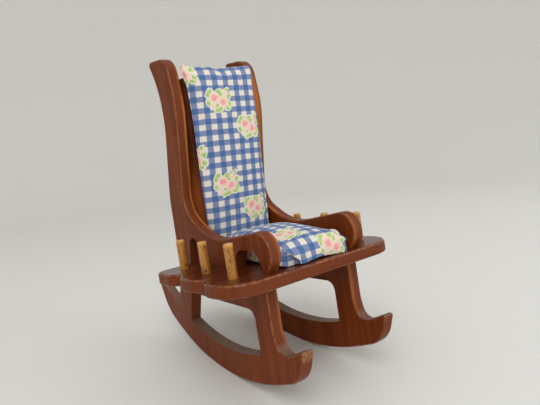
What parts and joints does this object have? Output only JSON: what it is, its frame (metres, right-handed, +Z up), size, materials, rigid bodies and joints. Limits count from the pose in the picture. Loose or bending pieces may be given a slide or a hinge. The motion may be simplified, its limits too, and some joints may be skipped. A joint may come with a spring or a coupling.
{
  "type": "sewing chair",
  "caption": "Small wooden rocking chair for sewing: padded seat and back take pins, and upright pegs on the scalloped seat hold thread spools.",
  "frame": {"origin": "middle of the bounding box's bottom face, on the table under the rockers", "axes": "+X to the right as seen from the front, +Y to the rear, +Z up; the chair leans back at the angle at which it balances"},
  "size_m": [0.183, 0.2624, 0.3006],
  "materials": {
    "stained_wood": "gloss",
    "varnished_dowel": "gloss",
    "plywood": "matte",
    "gingham_cotton": "matte",
    "stuffing": "matte",
    "screw_steel": "satin"
  },
  "bodies": {
    "root": {"left_side": "stained_wood", "right_side": "stained_wood", "seat_board": "stained_wood", "back_board": "stained_wood", "left_rail_screws": "screw_steel", "right_rail_screws": "screw_steel", "back_board_screws": "screw_steel", "seat_pad_screws": "screw_steel", "spool_peg_left_rear": "varnished_dowel", "spool_peg_left_middle": "varnished_dowel", "spool_peg_left_front": "varnished_dowel", "spool_peg_right_rear": "varnished_dowel", "spool_peg_right_middle": "varnished_dowel", "spool_peg_right_front": "varnished_dowel", "seat_pad_cover": "gingham_cotton", "seat_pad_filling": "stuffing", "seat_pad_base": "plywood", "back_pad_cover": "gingham_cotton", "back_pad_filling": "stuffing", "back_pad_base": "plywood"}
  },
  "joints": []
}
